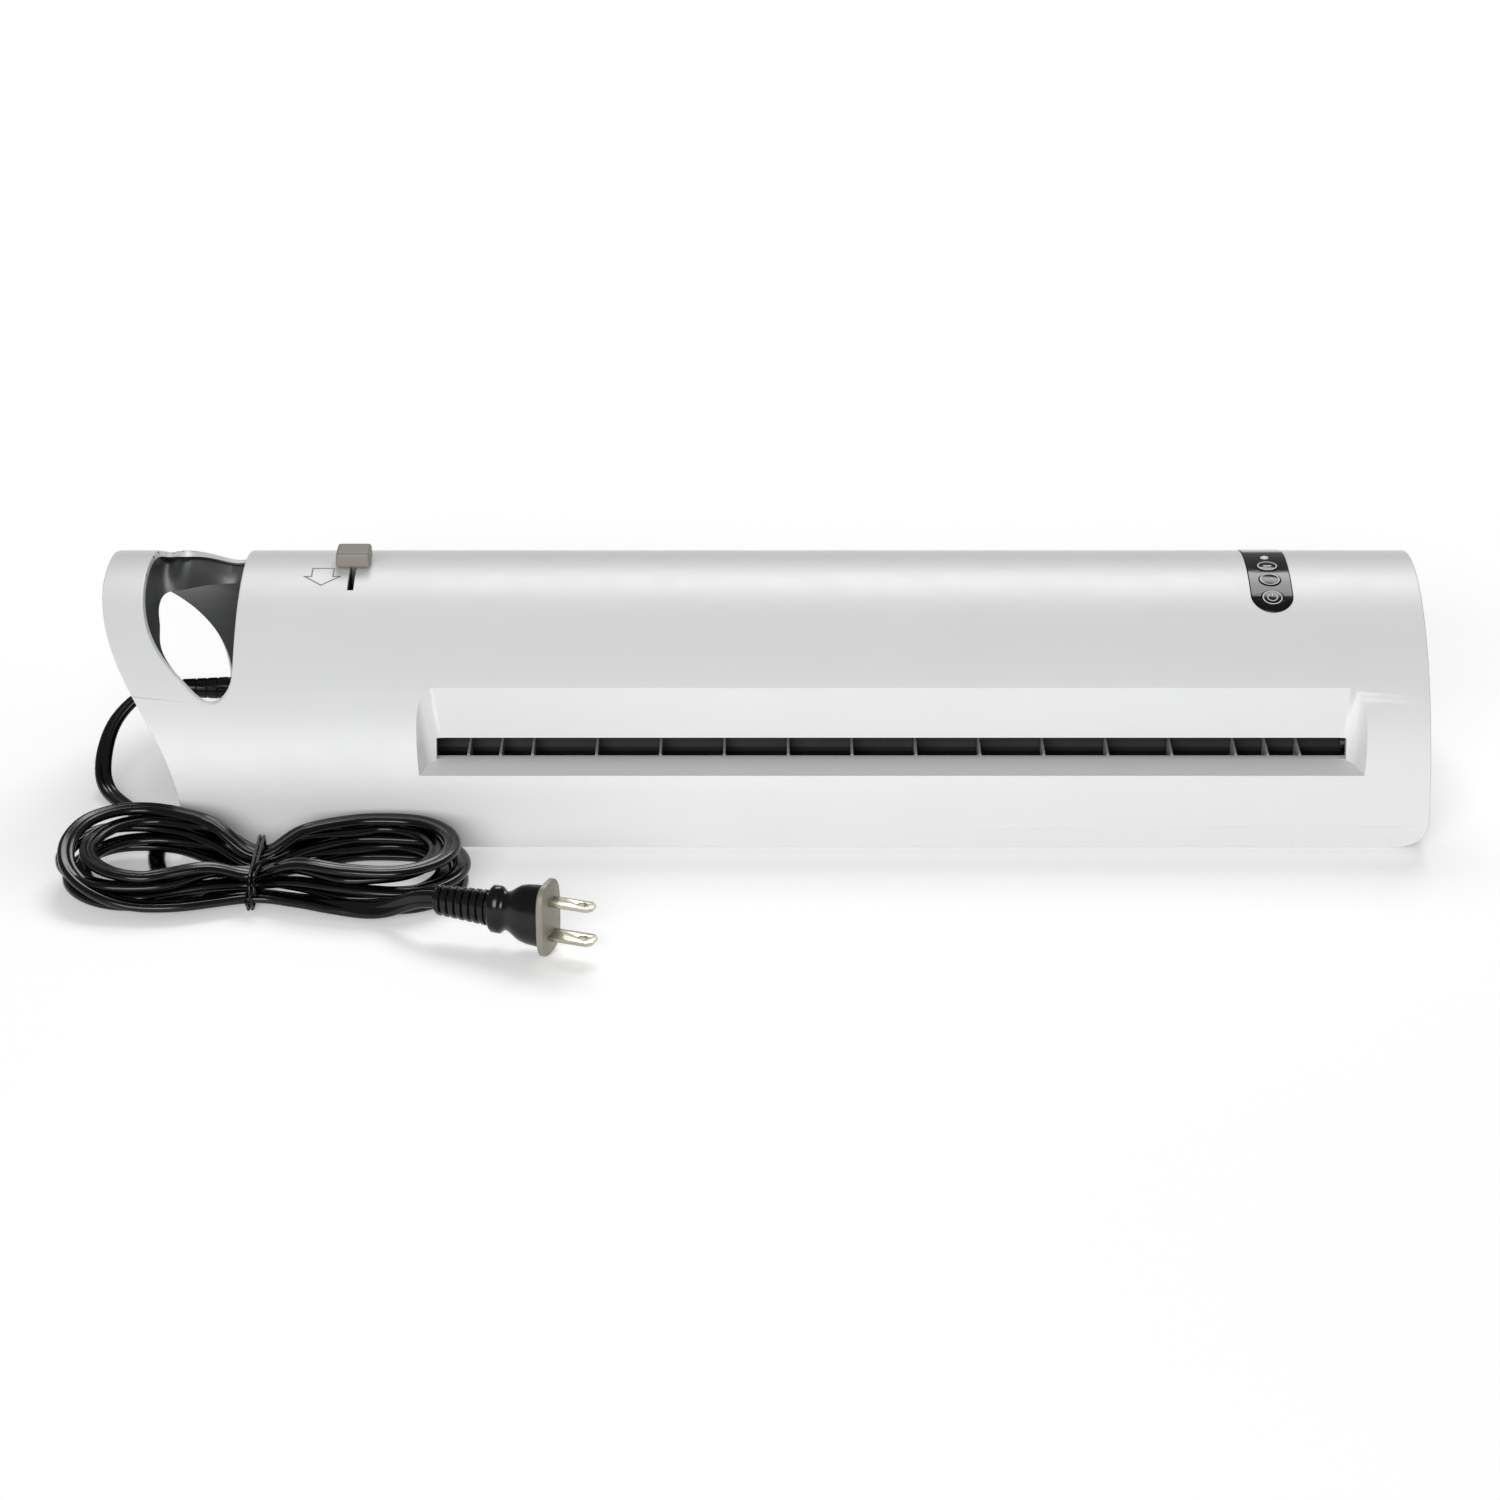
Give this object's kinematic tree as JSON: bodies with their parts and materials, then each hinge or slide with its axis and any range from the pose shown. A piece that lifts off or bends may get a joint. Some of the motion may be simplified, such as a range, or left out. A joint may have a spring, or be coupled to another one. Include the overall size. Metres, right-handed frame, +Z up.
{
  "type": "pouch laminator",
  "caption": "Half-round desktop pouch laminator with an arched carry handle, recessed exit slot, release lever, control panel and tied power cord.",
  "frame": {"origin": "on the table under the middle of the body, which stands on four feet", "axes": "+X along the rollers from the handle to the closed end, -Y towards the exit side, +Z up"},
  "size_m": [0.4954, 0.2413, 0.0902],
  "materials": {
    "shell_white": "satin moulded ABS",
    "liner_grey": "soft-touch moulding",
    "dark_plastic": "fine spark texture",
    "panel_black": "polished label",
    "lens_clear": "clear moulded lens",
    "board_green": "lacquered board",
    "steel": "zinc plated",
    "silicone": "ground silicone",
    "gear_acetal": "moulded acetal",
    "knob_grey": "satin moulded ABS",
    "aluminium": "mill finish",
    "rib_grey": "moulded ABS",
    "foot_rubber": "moulded",
    "cord_black": "soft glossy PVC",
    "blade_nickel": "nickel plated"
  },
  "bodies": {
    "frame": {"top_shell": "shell_white", "base_tray": "shell_white", "handle_liner": "liner_grey", "handle_end_wall": "dark_plastic", "feed_guide": "dark_plastic", "thermostat": "dark_plastic", "control_panel": "panel_black", "ready_lens": "lens_clear", "control_board": "board_green", "power_board": "board_green", "left_side_plate": "steel", "right_side_plate": "steel", "tie_bar": "steel", "idler_stud": "steel", "motor_bracket": "steel", "base_screw_1": "steel", "base_screw_2": "steel", "base_screw_3": "steel", "base_screw_4": "steel", "left_spring": "steel", "right_spring": "steel", "drive_motor": "steel", "upper_heater_shoe": "aluminium", "lower_heater_shoe": "aluminium", "exit_guide": "rib_grey", "foot_1": "foot_rubber", "foot_2": "foot_rubber", "foot_3": "foot_rubber", "foot_4": "foot_rubber", "strain_relief": "cord_black", "cord_lead": "cord_black", "cord_hank": "cord_black", "cord_tail": "cord_black", "plug_body": "cord_black", "plug_blade_narrow": "blade_nickel", "plug_blade_wide": "blade_nickel"},
    "release_lever": {"release_knob": "knob_grey", "release_arm": "steel", "release_shaft": "steel", "left_cam": "gear_acetal", "right_cam": "gear_acetal"},
    "lift_carriage": {"left_lift_yoke": "steel", "right_lift_yoke": "steel"},
    "hot_lower_roller": {"hot_lower_roller_core": "steel", "hot_lower_roller_sleeve": "silicone", "hot_lower_gear": "gear_acetal"},
    "hot_upper_roller": {"hot_upper_roller_core": "steel", "hot_upper_roller_sleeve": "silicone", "hot_upper_gear": "gear_acetal"},
    "exit_lower_roller": {"exit_lower_roller_core": "steel", "exit_lower_roller_sleeve": "silicone", "exit_lower_gear": "gear_acetal"},
    "exit_upper_roller": {"exit_upper_roller_core": "steel", "exit_upper_roller_sleeve": "silicone", "exit_upper_gear": "gear_acetal"},
    "idler": {"idler_gear": "gear_acetal"},
    "pinion": {"motor_pinion": "gear_acetal"},
    "power_button": {"power_button": "panel_black"},
    "thin_pouch_button": {"thin_pouch_button": "panel_black"},
    "thick_pouch_button": {"thick_pouch_button": "panel_black"}
  },
  "joints": [
    {"name": "release_turn", "type": "hinge", "parent": "frame", "child": "release_lever", "pos_m": [0, -0.009, 0.05], "axis": [1, 0, 0], "range_deg": [0, 24]},
    {"name": "carriage_lift", "type": "slide", "parent": "frame", "child": "lift_carriage", "axis": [0, 0, 1], "range_m": [0, 0.00122], "deforming": ["left_spring", "right_spring"]},
    {"name": "hot_lower_spin", "type": "hinge", "parent": "frame", "child": "hot_lower_roller", "pos_m": [0, 0.014, 0.02165], "axis": [1, 0, 0], "continuous": true},
    {"name": "hot_upper_spin", "type": "hinge", "parent": "lift_carriage", "child": "hot_upper_roller", "pos_m": [0, 0.014, 0.04395], "axis": [1, 0, 0], "continuous": true},
    {"name": "exit_lower_spin", "type": "hinge", "parent": "frame", "child": "exit_lower_roller", "pos_m": [0, -0.032, 0.02465], "axis": [1, 0, 0], "continuous": true},
    {"name": "exit_upper_spin", "type": "hinge", "parent": "lift_carriage", "child": "exit_upper_roller", "pos_m": [0, -0.032, 0.04095], "axis": [1, 0, 0], "continuous": true},
    {"name": "idler_spin", "type": "hinge", "parent": "frame", "child": "idler", "pos_m": [0, -0.01018, 0.02874], "axis": [1, 0, 0], "continuous": true},
    {"name": "pinion_spin", "type": "hinge", "parent": "frame", "child": "pinion", "pos_m": [0, 0.03103, 0.02404], "axis": [1, 0, 0], "continuous": true},
    {"name": "power_press", "type": "slide", "parent": "frame", "child": "power_button", "axis": [0, 0.3608, -0.9326], "range_m": [0, 0.0005], "stiffness_N_per_m": 800, "springref_m": -0.0008},
    {"name": "thin_press", "type": "slide", "parent": "frame", "child": "thin_pouch_button", "axis": [0, 0.2114, -0.9774], "range_m": [0, 0.0005], "stiffness_N_per_m": 800, "springref_m": -0.0008},
    {"name": "thick_press", "type": "slide", "parent": "frame", "child": "thick_pouch_button", "axis": [0, 0.0653, -0.9979], "range_m": [0, 0.0005], "stiffness_N_per_m": 800, "springref_m": -0.0008}
  ],
  "couplings": [
    {"joint": "release_turn", "follows": "carriage_lift", "rad_per_m": 343.28},
    {"joint": "hot_upper_spin", "follows": "hot_lower_spin", "ratio": -1},
    {"joint": "exit_lower_spin", "follows": "hot_lower_spin", "ratio": 1.375},
    {"joint": "exit_upper_spin", "follows": "hot_lower_spin", "ratio": -1.375},
    {"joint": "idler_spin", "follows": "hot_lower_spin", "ratio": -0.78571},
    {"joint": "pinion_spin", "follows": "hot_lower_spin", "ratio": -1.8333}
  ]
}
